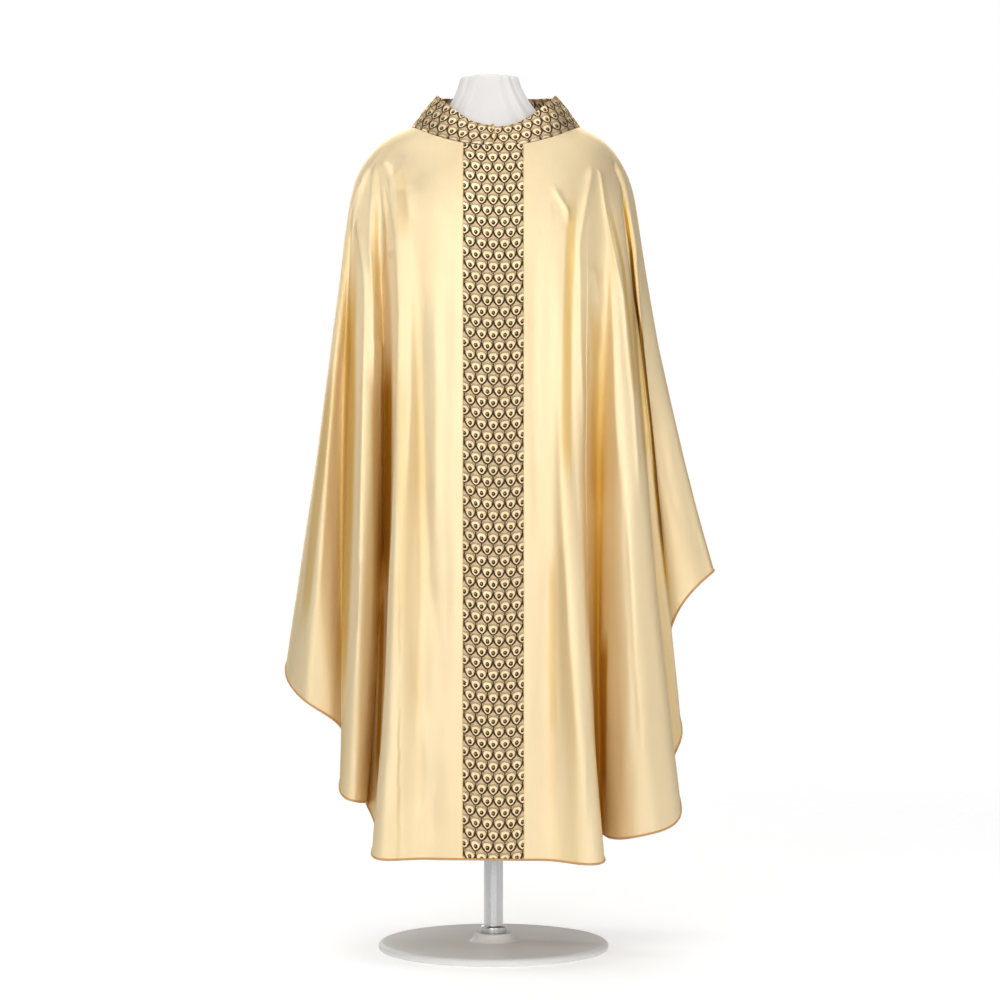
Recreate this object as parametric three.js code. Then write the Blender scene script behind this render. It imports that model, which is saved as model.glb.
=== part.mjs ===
// A full-cut chasuble on a limbless dress form: a poncho-like outer vestment of
// gold satin with a patterned centre band, a standing collar and corded hems.
// Millimetres, +Z up, the front faces -Y, +X is the wearer's left.
// The origin is the middle of the stand's underside, on the floor.
import * as THREE from 'three';

// Driving sizes
const CLOTH = 2;             // thickness of the satin wall
const SEAM_GAP = 0.3;        // clearance between pieces that are sewn together
const BAND_WIDTH = 96;       // centre band on the front
const BAND_THICK = 1.2;
const COLLAR_THICK = 3;      // two layers and a stiffener
const COLLAR_SEAM = 0.9;     // from the neck edge to the collar's lower edge
const COLLAR_LAP = 14;       // how far one collar end runs over the other
const COLLAR_END_X = -1;     // where the upper end stops, close to the front's middle
const CORD_RADIUS = 2;       // rolled cord along the hem
const CORD_GAP = 0.5;        // a little wider than a seam, because the cord turns sharply at folds
const FORM_REST = 0.45;      // from the cloth's inside to the form's shoulders

// Rings of the yoke, from the neck edge out to where the cloth starts to fall.
// wide: half width; front, back: half depths; z at the sides, front and back.
const NECK = { cx: 4, wide: 139, front: 110, back: 88, side: 1352, frontZ: 1307, backZ: 1352 };
const YOKE = { cx: 1, wide: 189, front: 128, back: 112, side: 1330, frontZ: 1256, backZ: 1300 };
const SHOULDER = { cx: -3, wide: 233, front: 141, back: 130, side: 1266, frontZ: 1192, backZ: 1212 };

// Guide lines of the folds. Each leaves the shoulder ring at an angle from the front
// (or back) middle, falls to the hem and pulls the cloth out to a ridge or in to a
// valley. mid is half way down, and hem is where the cloth ends.
const guide = (name, angle, midX, midY, hemX, hemY, hemZ) =>
  ({ name, angle, mid: [midX, midY], hem: [hemX, hemY, hemZ] });

// A guide line of a flat panel, which keeps its x all the way down.
const straight = (name, x, midY, hemY, hemZ) =>
  ({ name, x, mid: [x, midY], hem: [x, hemY, hemZ] });

const FRONT = [
  //    name                 angle  midX  midY  hemX  hemY hemZ
  guide('seam_left',           -90, -262,   48, -298,   66, 606),
  guide('side_valley_left',    -87, -240,   28, -262,   30, 548),
  guide('sleeve_return_left',  -84, -270,   10, -328,   10, 500),
  guide('sleeve_outer_left',   -80, -290,  -28, -352,  -28, 456),
  guide('sleeve_crown_left',   -75, -270,  -84, -302,  -96, 408),
  guide('sleeve_valley_left',  -70, -246,  -40, -220,  -36, 366),
  guide('fold_outer_left',     -66, -244,  -94, -258,  -90, 270),
  guide('fold_crown_left',     -61, -208, -126, -226, -138, 258),
  guide('fold_inner_left',     -56, -182,  -96, -202,  -94, 252),
  guide('deep_valley_left',    -52, -178,  -46, -212,  -36, 252),
  guide('edge_return_left',    -49, -160,  -98, -178, -104, 206),
  guide('panel_edge_left',     -46, -162, -150, -202, -188, 172),
  guide('panel_ridge_left',    -39, -140, -157, -156, -194, 172),
  guide('panel_valley_left',   -32, -116, -137, -120, -180, 173),
  straight('panel_left',  -96, -150, -187, 173),
  straight('band_left',   -48, -155, -191, 173),
  straight('centre',        0, -154, -191, 173),
  straight('band_right',   48, -155, -192, 172),
  straight('panel_right',  96, -140, -176, 171),
  guide('panel_ridge_right',    33,  112, -160,  150, -204, 164),
  guide('panel_edge_right',     40,  142, -150,  188, -186, 168),
  guide('inner_ridge_right',    45,  146, -122,  162, -100, 180),
  guide('deep_valley_right',    50,  168,  -84,  174,  -42, 204),
  guide('fold_inner_right',     55,  184, -104,  188, -102, 190),
  guide('fold_crown_right',     61,  208, -142,  240, -154, 206),
  guide('fold_outer_right',     68,  254, -106,  324,  -98, 220),
  guide('narrow_valley_right',  72,  243,  -72,  272,  -50, 318),
  guide('narrow_fold_right',    75,  268,  -86,  324,  -58, 352),
  guide('crevice_right',        79,  248,  -30,  268,    2, 480),
  guide('sleeve_front_right',   84,  264,  -30,  308,  -34, 588),
  guide('seam_right',           90,  292,    8,  392,    8, 642),
];

const BACK = [
  //    name                    angle  midX midY  hemX hemY hemZ
  guide('back_return_right',       86,  262,  36,  320,  44, 598),
  guide('back_side_valley_right',  81,  232,  42,  260,  48, 536),
  guide('back_side_crown_right',   75,  250,  88,  300, 100, 470),
  guide('back_mid_valley_right',   70,  222,  80,  238,  90, 402),
  guide('back_mid_crown_right',    64,  222, 128,  262, 154, 332),
  guide('back_deep_valley_right',  57,  184,  94,  194, 106, 264),
  guide('back_edge_right',         48,  170, 146,  208, 194, 206),
  guide('back_ridge_right',        38,  128, 152,  152, 207, 182),
  straight('back_right',   96, 142, 190, 173),
  straight('back_centre',   0, 150, 200, 166),
  straight('back_left',   -96, 144, 192, 173),
  guide('back_ridge_left',        -38, -126, 154, -148, 208, 180),
  guide('back_edge_left',         -48, -168, 146, -200, 194, 200),
  guide('back_deep_valley_left',  -57, -180,  96, -186, 110, 262),
  guide('back_mid_crown_left',    -64, -216, 126, -248, 154, 332),
  guide('back_mid_valley_left',   -70, -220,  84, -226, 100, 412),
  guide('back_side_crown_left',   -76, -250, 100, -286, 116, 480),
  guide('back_side_valley_left',  -83, -236,  60, -258,  62, 540),
];

const FALL_STEPS = [0.12, 0.4, 0.7, 1];   // rows below the shoulder, as shares of the fall
const FAN_FROM = 96;                      // beyond this x the guide lines fan out from the neck
const COLUMNS_PER_GUIDE = 3;
const YOKE_ROWS = 2;                      // rows of the net from the neck to the shoulder
const YOKE_DIVISIONS = 3;                 // mesh rows for each net row on the yoke
const FALL_DIVISIONS = 2;                 // and below it

const SATIN = new THREE.MeshStandardMaterial({ color: 0xe4cd92, roughness: 0.38, metalness: 0.15 });
const BROCADE = new THREE.MeshStandardMaterial({ color: 0x8c7450, roughness: 0.45, metalness: 0.3 });
const CORD = new THREE.MeshStandardMaterial({ color: 0xd6a25c, roughness: 0.45, metalness: 0.1 });
const LINEN = new THREE.MeshStandardMaterial({ color: 0xefeae3, roughness: 0.85, metalness: 0 });
const STEEL = new THREE.MeshStandardMaterial({ color: 0xc9cbce, roughness: 0.3, metalness: 0.9 });
const PAINT = new THREE.MeshStandardMaterial({ color: 0xe8e6e2, roughness: 0.5, metalness: 0.1 });

const radians = THREE.MathUtils.degToRad;
const vector = (x, y, z) => new THREE.Vector3(x, y, z);

// A point on a ring. side is -1 on the front and 1 on the back.
function ringPoint(ring, x, side) {
  const across = THREE.MathUtils.clamp((x - ring.cx) / ring.wide, -1, 1);
  const along = 1 - across * across;
  const depth = side < 0 ? ring.front : ring.back;
  const z = side < 0 ? ring.frontZ : ring.backZ;
  return vector(x, side * depth * Math.sqrt(along), ring.side + (z - ring.side) * along);
}

// Where a guide line crosses a ring. The fan keeps the order of the lines on each ring.
function crossing(line, ring, side) {
  if (line.x !== undefined) return ringPoint(ring, line.x, side);
  const flat = (r) => Math.asin(FAN_FROM / r.wide);
  const share = (Math.PI / 2 - Math.abs(radians(line.angle))) / (Math.PI / 2 - flat(SHOULDER));
  const angle = Math.PI / 2 - share * (Math.PI / 2 - flat(ring));
  return ringPoint(ring, ring.cx + Math.sign(line.angle) * ring.wide * Math.sin(angle), side);
}

// The column of net points down one guide line, from the neck edge to the hem.
function column(line, side) {
  const [neck, yoke, shoulder] = [NECK, YOKE, SHOULDER].map((ring) => crossing(line, ring, side));
  const [hemX, hemY, hemZ] = line.hem;
  const fall = FALL_STEPS.map((f) => {
    const [start, middle, end] = [(1 - f) * (1 - 2 * f), 4 * f * (1 - f), f * (2 * f - 1)];
    return vector(
      shoulder.x * start + line.mid[0] * middle + hemX * end,
      shoulder.y * start + line.mid[1] * middle + hemY * end,
      shoulder.z + (hemZ - shoulder.z) * f,
    );
  });
  const down = [neck, yoke, shoulder, ...fall];
  const last = down.length - 1;
  down.unshift(neck.clone().multiplyScalar(2).sub(yoke));
  down.push(down[last + 1].clone().multiplyScalar(2).sub(down[last]));
  return down;
}

const NET = [...FRONT.map((line) => column(line, -1)), ...BACK.map((line) => column(line, 1))];
const SEAM_LEFT = 0;
const SEAM_RIGHT = FRONT.length - 1;
const AROUND = NET.length;
const HEM_ROW = YOKE_ROWS + FALL_STEPS.length;
const CENTRE = FRONT.findIndex((line) => line.name === 'centre');

// Weights of the uniform cubic B-spline at t from 0 to 1.
const weights = (t) => [
  (1 - t) ** 3 / 6,
  (3 * t ** 3 - 6 * t ** 2 + 4) / 6,
  (-3 * t ** 3 + 3 * t ** 2 + 3 * t + 1) / 6,
  t ** 3 / 6,
];

// The middle of the cloth at u guide lines round from the left seam and v rows down.
function clothPoint(u, v) {
  const i = Math.floor(u);
  const j = Math.min(Math.floor(v), HEM_ROW - 1);
  const across = weights(u - i);
  const down = weights(v - j);
  const point = vector(0, 0, 0);
  across.forEach((a, m) => down.forEach((d, n) => {
    point.addScaledVector(NET[(i + m - 1 + AROUND) % AROUND][j + n], a * d);
  }));
  return point;
}

const STEP = 1e-3;
const slope = (from, to) => to.clone().sub(from).normalize();
const acrossCloth = (u, v) => slope(clothPoint(u - STEP, v), clothPoint(u + STEP, v));
const downCloth = (u, v) => (v < STEP
  ? slope(clothPoint(u, v), clothPoint(u, v + STEP))
  : slope(clothPoint(u, v - STEP), clothPoint(u, Math.min(v + STEP, HEM_ROW))));
const outOfCloth = (u, v) => downCloth(u, v).cross(acrossCloth(u, v)).normalize();

// A point of the cloth moved out by some distance and along its width by another.
const moved = (u, v, out, along = 0) =>
  clothPoint(u, v).addScaledVector(outOfCloth(u, v), out).addScaledVector(acrossCloth(u, v), along);

// A closed geometry from a grid of rings. Each ring is a closed polygon of points, the
// first and last are capped, and the rings run so that their polygons face outwards.
function skin(rings, cap) {
  const size = rings[0].length;
  const positions = rings.flat().flatMap((p) => p.toArray());
  const index = [];
  for (let i = 0; i + 1 < rings.length; i += 1) {
    for (let k = 0; k < size; k += 1) {
      const [a, b] = [i * size + k, i * size + (k + 1) % size];
      index.push(a, b, a + size, b, b + size, a + size);
    }
  }
  const end = (rings.length - 1) * size;
  cap(size).forEach(([a, b, c]) => index.push(a, c, b, end + a, end + b, end + c));
  const geometry = new THREE.BufferGeometry();
  geometry.setAttribute('position', new THREE.Float32BufferAttribute(positions, 3));
  geometry.setIndex(index);
  geometry.computeVertexNormals();
  return geometry;
}

// Caps for a round ring, and for a thin ring that goes down one face and up the other.
const fan = (size) => Array.from({ length: size - 2 }, (_, k) => [0, k + 1, k + 2]);
const ladder = (size) => Array.from({ length: size / 2 - 1 }, (_, k) => {
  const [low, high] = [k, size - 1 - k];
  return [[low, low + 1, high], [low + 1, high - 1, high]];
}).flat();

function piece(name, geometry, material) {
  const mesh = new THREE.Mesh(geometry, material);
  mesh.name = name;
  return mesh;
}

// Mesh rows down the cloth: finer on the yoke than on the long fall.
const ROWS = [];
for (let k = 0; k < YOKE_ROWS * YOKE_DIVISIONS; k += 1) ROWS.push(k / YOKE_DIVISIONS);
for (let k = 0; k <= FALL_STEPS.length * FALL_DIVISIONS; k += 1) ROWS.push(YOKE_ROWS + k / FALL_DIVISIONS);

// Mesh columns from one guide line to another. Ends are pulled in by half a seam gap.
function columnsBetween(from, to) {
  const count = (to - from) * COLUMNS_PER_GUIDE;
  return Array.from({ length: count + 1 }, (_, k) => ({
    u: from + k / COLUMNS_PER_GUIDE,
    inset: (k === 0 ? SEAM_GAP / 2 : 0) - (k === count ? SEAM_GAP / 2 : 0),
  }));
}

// A wall of cloth between two guide lines, from an inner to an outer distance off the cloth's middle.
function wall(columns, inner, outer) {
  const rings = columns.map(({ u, inset }) => [
    ...ROWS.map((v) => moved(u, v, outer, inset)),
    ...[...ROWS].reverse().map((v) => moved(u, v, inner, inset)),
  ]);
  return skin(rings, ladder);
}

const panel = (name, from, to) =>
  piece(name, wall(columnsBetween(from, to), -CLOTH / 2, CLOTH / 2), SATIN);

// The centre band is made from the panel's own points, moved out.
function centreBand() {
  const half = BAND_WIDTH / 2 / FRONT[CENTRE + 1].x;
  const inner = CLOTH / 2 + SEAM_GAP;
  const columns = columnsBetween(CENTRE - half, CENTRE + half);
  return piece('orphrey_front', wall(columns, inner, inner + BAND_THICK), BROCADE);
}

// The cord follows the lower edge of a panel, just below it and square to each stretch.
function hemCord(name, from, to) {
  const sides = 6;
  const nextColumn = 1 / COLUMNS_PER_GUIDE;
  const rings = columnsBetween(from, to).map(({ u, inset }) => {
    const edge = clothPoint(u, HEM_ROW);
    const fall = downCloth(u, HEM_ROW);
    const before = slope(clothPoint(u - nextColumn, HEM_ROW), edge);
    const after = slope(edge, clothPoint(u + nextColumn, HEM_ROW));
    const [below, belowNext] = [before, after].map((t) => t.clone().cross(fall.clone().cross(t).normalize()));
    const drop = (CORD_GAP + CORD_RADIUS) / (1 + below.dot(belowNext));
    const along = before.add(after).normalize();
    const middle = edge.addScaledVector(along, inset).addScaledVector(below.add(belowNext), drop);
    const out = below.clone().cross(along).normalize();
    const down = along.clone().cross(out);
    return Array.from({ length: sides }, (_, n) => {
      const turn = (2 * Math.PI * (n + 0.5)) / sides;
      return middle.clone()
        .addScaledVector(out, CORD_RADIUS * Math.cos(turn))
        .addScaledVector(down, CORD_RADIUS * Math.sin(turn));
    });
  });
  return piece(name, skin(rings, fan), CORD);
}

// The collar stands on the neck edge and leans in to this ring.
const COLLAR_TOP = { cx: 5, wide: 97, front: 80, back: 80, side: 1405, frontZ: 1344, backZ: 1413 };

// A point of the collar's middle at u round the neck and h from 0 below to 1 on top.
function collarPoint(u, h) {
  const base = clothPoint(u, 0);
  const angle = Math.atan2((base.x - NECK.cx) / NECK.wide, Math.abs(base.y) / (base.y < 0 ? NECK.front : NECK.back));
  const side = base.y < 0 ? -1 : 1;
  const top = ringPoint(COLLAR_TOP, COLLAR_TOP.cx + COLLAR_TOP.wide * Math.sin(angle), side);
  const lean = slope(base, top);
  return base.addScaledVector(lean, COLLAR_SEAM).lerp(top, h);
}

function collar() {
  const heights = [0, 0.35, 0.7, 1];
  const half = COLLAR_THICK / 2;
  const lapStart = 1;                      // guide lines from the middle where the upper end lifts
  const from = CENTRE + (COLLAR_END_X - COLLAR_LAP) / FRONT[CENTRE + 1].x;
  const count = AROUND * 2;
  const turns = Array.from({ length: count + 1 }, (_, k) => from + (k / count) * AROUND);
  turns.push(from + AROUND + COLLAR_LAP / FRONT[CENTRE + 1].x);
  const rings = turns.map((u) => {
    const lift = THREE.MathUtils.smoothstep(u, from + AROUND - lapStart, from + AROUND) * (COLLAR_THICK + SEAM_GAP);
    const out = (h) => {
      const around = slope(collarPoint(u - STEP, h), collarPoint(u + STEP, h));
      return slope(collarPoint(u, 1), collarPoint(u, 0)).cross(around).normalize();
    };
    const face = (h, off) => collarPoint(u, h).addScaledVector(out(h), lift + off);
    return [...heights.map((h) => face(h, -half)), ...[...heights].reverse().map((h) => face(h, half))];
  });
  return piece('collar', skin(rings, ladder), BROCADE);
}

// The dress form. The cloth rests on its shoulders, which follow the yoke's inside.
// Above them the neck flares in to a stub, and below them the torso is a stack of ellipses.
const REST_ROWS = [4 / 3, 1, 2 / 3, 1 / 3];
const NECK_FLARE = [
  { inward: 0.62, up: 0.1 },
  { inward: 0.71, up: 0.38 },
  { inward: 0.9, up: 0.71 },
  { inward: 1, up: 1 },
];
const STUB = { cx: -6, wide: 48, deep: 38, z: 1431 };
const STUB_TOP = { cx: -6, wide: 43, deep: 33, z: 1437 };
const TORSO = [
  { cx: 0, wide: 146, deep: 94, z: 700 },     // underside
  { cx: 0, wide: 167, deep: 112, z: 722 },    // its rounded edge
  { cx: 0, wide: 172, deep: 118, z: 785 },    // hip
  { cx: 0, wide: 154, deep: 104, z: 960 },    // waist
  { cx: 0, wide: 176, deep: 119, z: 1125 },   // chest
  { cx: 0, wide: 201, deep: 121, z: 1195 },   // under the arms
];

function formBody() {
  const turns = NET.map((_, u) => {
    const p = clothPoint(u, YOKE_ROWS);
    return Math.atan2(p.y / (p.y < 0 ? SHOULDER.front : SHOULDER.back), (p.x - SHOULDER.cx) / SHOULDER.wide);
  });
  const ellipse = ({ cx, wide, deep, z }) =>
    turns.map((t) => vector(cx + wide * Math.cos(t), deep * Math.sin(t), z));
  const rest = REST_ROWS.map((v) => turns.map((_, u) => moved(u, v, -CLOTH / 2 - FORM_REST)));
  const base = rest[rest.length - 1];
  const stub = ellipse(STUB);
  const neck = NECK_FLARE.map(({ inward, up }) => base.map((p, k) => vector(
    THREE.MathUtils.lerp(p.x, stub[k].x, inward),
    THREE.MathUtils.lerp(p.y, stub[k].y, inward),
    THREE.MathUtils.lerp(p.z, stub[k].z, up),
  )));
  return piece('form_body', skin([...TORSO.map(ellipse), ...rest, ...neck, ellipse(STUB_TOP)], fan), LINEN);
}

// The stand: a pole with a flange under the torso, and a round base with a low boss.
const POLE_RADIUS = 16;
const FLANGE = { radius: 42, edge: 5, cone: 9 };
const BASE = { radius: 190, rim: 8, crown: 12, bevel: 5 };
const BOSS = { radius: 30, flare: 4, top: 26 };
const ROUND_SIDES = 36;

function turned(name, profile, material) {
  const points = profile.map(([radius, z]) => new THREE.Vector2(radius, z));
  return piece(name, new THREE.LatheGeometry(points, ROUND_SIDES).rotateX(Math.PI / 2), material);
}

function pole() {
  const top = TORSO[0].z - SEAM_GAP;
  const foot = BOSS.top + SEAM_GAP;
  const edge = top - FLANGE.edge;
  return turned('stand_pole', [
    [0, foot], [POLE_RADIUS, foot], [POLE_RADIUS, edge - FLANGE.cone],
    [FLANGE.radius, edge], [FLANGE.radius, top], [0, top],
  ], STEEL);
}

function base() {
  return turned('stand_base', [
    [0, 0], [BASE.radius, 0], [BASE.radius, BASE.rim], [BASE.radius - BASE.bevel, BASE.crown],
    [BOSS.radius + BOSS.flare, BASE.crown], [BOSS.radius, BOSS.top], [0, BOSS.top],
  ], PAINT);
}

const chasuble = new THREE.Group();
chasuble.add(
  panel('front_panel', SEAM_LEFT, SEAM_RIGHT),
  panel('back_panel', SEAM_RIGHT, AROUND),
  centreBand(),
  collar(),
  hemCord('hem_cord_front', SEAM_LEFT, SEAM_RIGHT),
  hemCord('hem_cord_back', SEAM_RIGHT, AROUND),
  formBody(),
  pole(),
  base(),
);

export default chasuble;
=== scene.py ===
"""A full-cut chasuble of gold satin on a limbless dress form.

The cloth is a thin shell on the frame's own folds, made from the same guide lines, with
finer creases added. Lengths are millimetres until a mesh is made, which is in metres.
"""
import math
from functools import partialmethod

import bpy
import numpy as np
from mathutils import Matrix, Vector

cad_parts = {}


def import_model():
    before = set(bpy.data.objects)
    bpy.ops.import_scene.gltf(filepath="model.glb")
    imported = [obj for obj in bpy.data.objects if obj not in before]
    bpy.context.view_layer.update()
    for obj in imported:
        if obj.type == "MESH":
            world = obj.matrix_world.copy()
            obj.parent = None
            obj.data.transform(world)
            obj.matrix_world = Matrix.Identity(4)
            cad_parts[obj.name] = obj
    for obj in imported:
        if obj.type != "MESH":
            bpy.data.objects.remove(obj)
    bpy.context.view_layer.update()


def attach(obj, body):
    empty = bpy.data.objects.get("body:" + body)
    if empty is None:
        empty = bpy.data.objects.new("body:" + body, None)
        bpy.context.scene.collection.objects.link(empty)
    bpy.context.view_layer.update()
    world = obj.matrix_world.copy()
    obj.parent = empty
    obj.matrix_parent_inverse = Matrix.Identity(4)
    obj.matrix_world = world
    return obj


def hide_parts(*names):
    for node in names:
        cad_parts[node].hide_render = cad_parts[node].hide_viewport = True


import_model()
SCENE = bpy.context.scene

MM = 0.001

# Sizes of the cloth, in millimetres
SATIN_THICK = 0.7
BAND_THICK = 0.9
BAND_LIFT = 0.15  # from the satin's face to the band's back
BAND_WIDTH = 96
COLLAR_THICK = 2.4
COLLAR_SEAM = 0.9
COLLAR_LAP = 14
COLLAR_END_X = -1
CORD_RADIUS = 1.9
EDGE_RADIUS = 0.6  # gold thread along the band's edges
SEAM_INSET = 0.06  # each panel ends this far from the seam's middle
SEAM_DIP = 2.2  # the cloth dips this much at a side seam
SEAM_REACH = 0.22  # over this many guide lines

# Rings of the yoke, as in the frame: half width, half depths, and heights at the
# sides, front and back
NECK = dict(cx=4, wide=139, front=110, back=88, side=1352, front_z=1307, back_z=1352)
YOKE = dict(cx=1, wide=189, front=128, back=112, side=1330, front_z=1256, back_z=1300)
SHOULDER = dict(cx=-3, wide=233, front=141, back=130, side=1266, front_z=1192, back_z=1212)
COLLAR_TOP = dict(cx=5, wide=97, front=80, back=80, side=1405, front_z=1344, back_z=1413)

# Guide lines of the folds, as in the frame: angle round the yoke from the front or back
# middle, then x and y half way down, then x, y and z at the hem
FRONT = [
    # name, angle, mid x, mid y, hem x, hem y, hem z
    ("seam_left", -90, -262, 48, -298, 66, 606),
    ("side_valley_left", -87, -240, 28, -262, 30, 548),
    ("sleeve_return_left", -84, -270, 10, -328, 10, 500),
    ("sleeve_outer_left", -80, -290, -28, -352, -28, 456),
    ("sleeve_crown_left", -75, -270, -84, -302, -96, 408),
    ("sleeve_valley_left", -70, -246, -40, -220, -36, 366),
    ("fold_outer_left", -66, -244, -94, -258, -90, 270),
    ("fold_crown_left", -61, -208, -126, -226, -138, 258),
    ("fold_inner_left", -56, -182, -96, -202, -94, 252),
    ("deep_valley_left", -52, -178, -46, -212, -36, 252),
    ("edge_return_left", -49, -160, -98, -178, -104, 206),
    ("panel_edge_left", -46, -162, -150, -202, -188, 172),
    ("panel_ridge_left", -39, -140, -157, -156, -194, 172),
    ("panel_valley_left", -32, -116, -137, -120, -180, 173),
    ("panel_left", None, -96, -150, -96, -187, 173),
    ("band_left", None, -48, -155, -48, -191, 173),
    ("centre", None, 0, -154, 0, -191, 173),
    ("band_right", None, 48, -155, 48, -192, 172),
    ("panel_right", None, 96, -140, 96, -176, 171),
    ("panel_ridge_right", 33, 112, -160, 150, -204, 164),
    ("panel_edge_right", 40, 142, -150, 188, -186, 168),
    ("inner_ridge_right", 45, 146, -122, 162, -100, 180),
    ("deep_valley_right", 50, 168, -84, 174, -42, 204),
    ("fold_inner_right", 55, 184, -104, 188, -102, 190),
    ("fold_crown_right", 61, 208, -142, 240, -154, 206),
    ("fold_outer_right", 68, 254, -106, 324, -98, 220),
    ("narrow_valley_right", 72, 243, -72, 272, -50, 318),
    ("narrow_fold_right", 75, 268, -86, 324, -58, 352),
    ("crevice_right", 79, 248, -30, 268, 2, 480),
    ("sleeve_front_right", 84, 264, -30, 308, -34, 588),
    ("seam_right", 90, 292, 8, 392, 8, 642),
]
BACK = [
    # name, angle, mid x, mid y, hem x, hem y, hem z
    ("back_return_right", 86, 262, 36, 320, 44, 598),
    ("back_side_valley_right", 81, 232, 42, 260, 48, 536),
    ("back_side_crown_right", 75, 250, 88, 300, 100, 470),
    ("back_mid_valley_right", 70, 222, 80, 238, 90, 402),
    ("back_mid_crown_right", 64, 222, 128, 262, 154, 332),
    ("back_deep_valley_right", 57, 184, 94, 194, 106, 264),
    ("back_edge_right", 48, 170, 146, 208, 194, 206),
    ("back_ridge_right", 38, 128, 152, 152, 207, 182),
    ("back_right", None, 96, 142, 96, 190, 173),
    ("back_centre", None, 0, 150, 0, 200, 166),
    ("back_left", None, -96, 144, -96, 192, 173),
    ("back_ridge_left", -38, -126, 154, -148, 208, 180),
    ("back_edge_left", -48, -168, 146, -200, 194, 200),
    ("back_deep_valley_left", -57, -180, 96, -186, 110, 262),
    ("back_mid_crown_left", -64, -216, 126, -248, 154, 332),
    ("back_mid_valley_left", -70, -220, 84, -226, 100, 412),
    ("back_side_crown_left", -76, -250, 100, -286, 116, 480),
    ("back_side_valley_left", -83, -236, 60, -258, 62, 540),
]
FALL_STEPS = (0.12, 0.4, 0.7, 1)
FAN_FROM = 96
YOKE_ROWS = 2
HEM_ROW = YOKE_ROWS + len(FALL_STEPS)
AROUND = len(FRONT) + len(BACK)
SEAM_RIGHT = len(FRONT) - 1
CENTRE = [line[0] for line in FRONT].index("centre")
BAND_STEP = 48  # from the centre guide line to the next one


def ring_point(ring, x, side):
    across = min(max((x - ring["cx"]) / ring["wide"], -1), 1)
    along = 1 - across * across
    depth = ring["front"] if side < 0 else ring["back"]
    z = ring["front_z"] if side < 0 else ring["back_z"]
    return np.array([x, side * depth * math.sqrt(along), ring["side"] + (z - ring["side"]) * along])


def crossing(angle, x, ring, side):
    if angle is None:
        return ring_point(ring, x, side)
    quarter = math.pi / 2
    share = (quarter - abs(math.radians(angle))) / (quarter - math.asin(FAN_FROM / SHOULDER["wide"]))
    turn = quarter - share * (quarter - math.asin(FAN_FROM / ring["wide"]))
    return ring_point(ring, ring["cx"] + math.copysign(ring["wide"] * math.sin(turn), angle), side)


def column(line, side):
    """The net points down one guide line, with one more beyond each end."""
    _, angle, mid_x, mid_y, hem_x, hem_y, hem_z = line
    neck, yoke, shoulder = (crossing(angle, mid_x, ring, side) for ring in (NECK, YOKE, SHOULDER))
    hem = np.array([hem_x, hem_y, hem_z])
    middle = np.array([mid_x, mid_y, (shoulder[2] + hem_z) / 2])
    fall = [
        shoulder * (1 - f) * (1 - 2 * f) + middle * 4 * f * (1 - f) + hem * f * (2 * f - 1)
        for f in FALL_STEPS
    ]
    down = [neck, yoke, shoulder, *fall]
    return [2 * neck - yoke, *down, 2 * down[-1] - down[-2]]


NET = np.array([column(line, -1) for line in FRONT] + [column(line, 1) for line in BACK])


def spline_weights(t):
    return np.stack([
        (1 - t) ** 3 / 6,
        (3 * t ** 3 - 6 * t ** 2 + 4) / 6,
        (-3 * t ** 3 + 3 * t ** 2 + 3 * t + 1) / 6,
        t ** 3 / 6,
    ])


def basis(values, size, closed):
    """One row of B-spline weights for each value, over the net's lines or rows."""
    whole = np.floor(values).astype(int)
    if not closed:
        whole = np.minimum(whole, size - 4)
    matrix = np.zeros((len(values), size))
    for k, weight in enumerate(spline_weights(values - whole)):
        place = (whole + k - 1) % size if closed else whole + k
        np.add.at(matrix, (np.arange(len(values)), place), weight)
    return matrix


def smooth_cloth(u, v):
    """The cloth's middle on a grid of u guide lines from the left seam and v rows down."""
    return np.einsum("ni,mj,ijk->nmk", basis(u, AROUND, True), basis(v, HEM_ROW + 3, False), NET)


def unit(a):
    return a / np.maximum(np.linalg.norm(a, axis=-1, keepdims=True), 1e-12)


def smooth(t):
    """Eases a share from 0 to 1 in and out."""
    return t * t * (3 - 2 * t)


def grid_normals(points):
    """Normals of a grid that runs from the left and down, seen from outside."""
    across = np.gradient(points, axis=0)
    down = np.gradient(points, axis=1)
    return unit(np.cross(down, across))


NOISE_LATTICE = 64


def value_noise(x, y, seed):
    """Smooth noise from -1 to 1 with features about one unit across."""
    lattice = np.random.default_rng(seed).uniform(-1, 1, (NOISE_LATTICE, NOISE_LATTICE))
    i, j = np.floor(x).astype(int), np.floor(y).astype(int)
    a, b = smooth(x - i), smooth(y - j)
    corner = lambda di, dj: lattice[(i + di) % NOISE_LATTICE, (j + dj) % NOISE_LATTICE]
    low = corner(0, 0) * (1 - a) + corner(1, 0) * a
    high = corner(0, 1) * (1 - a) + corner(1, 1) * a
    return low * (1 - b) + high * b


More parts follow.
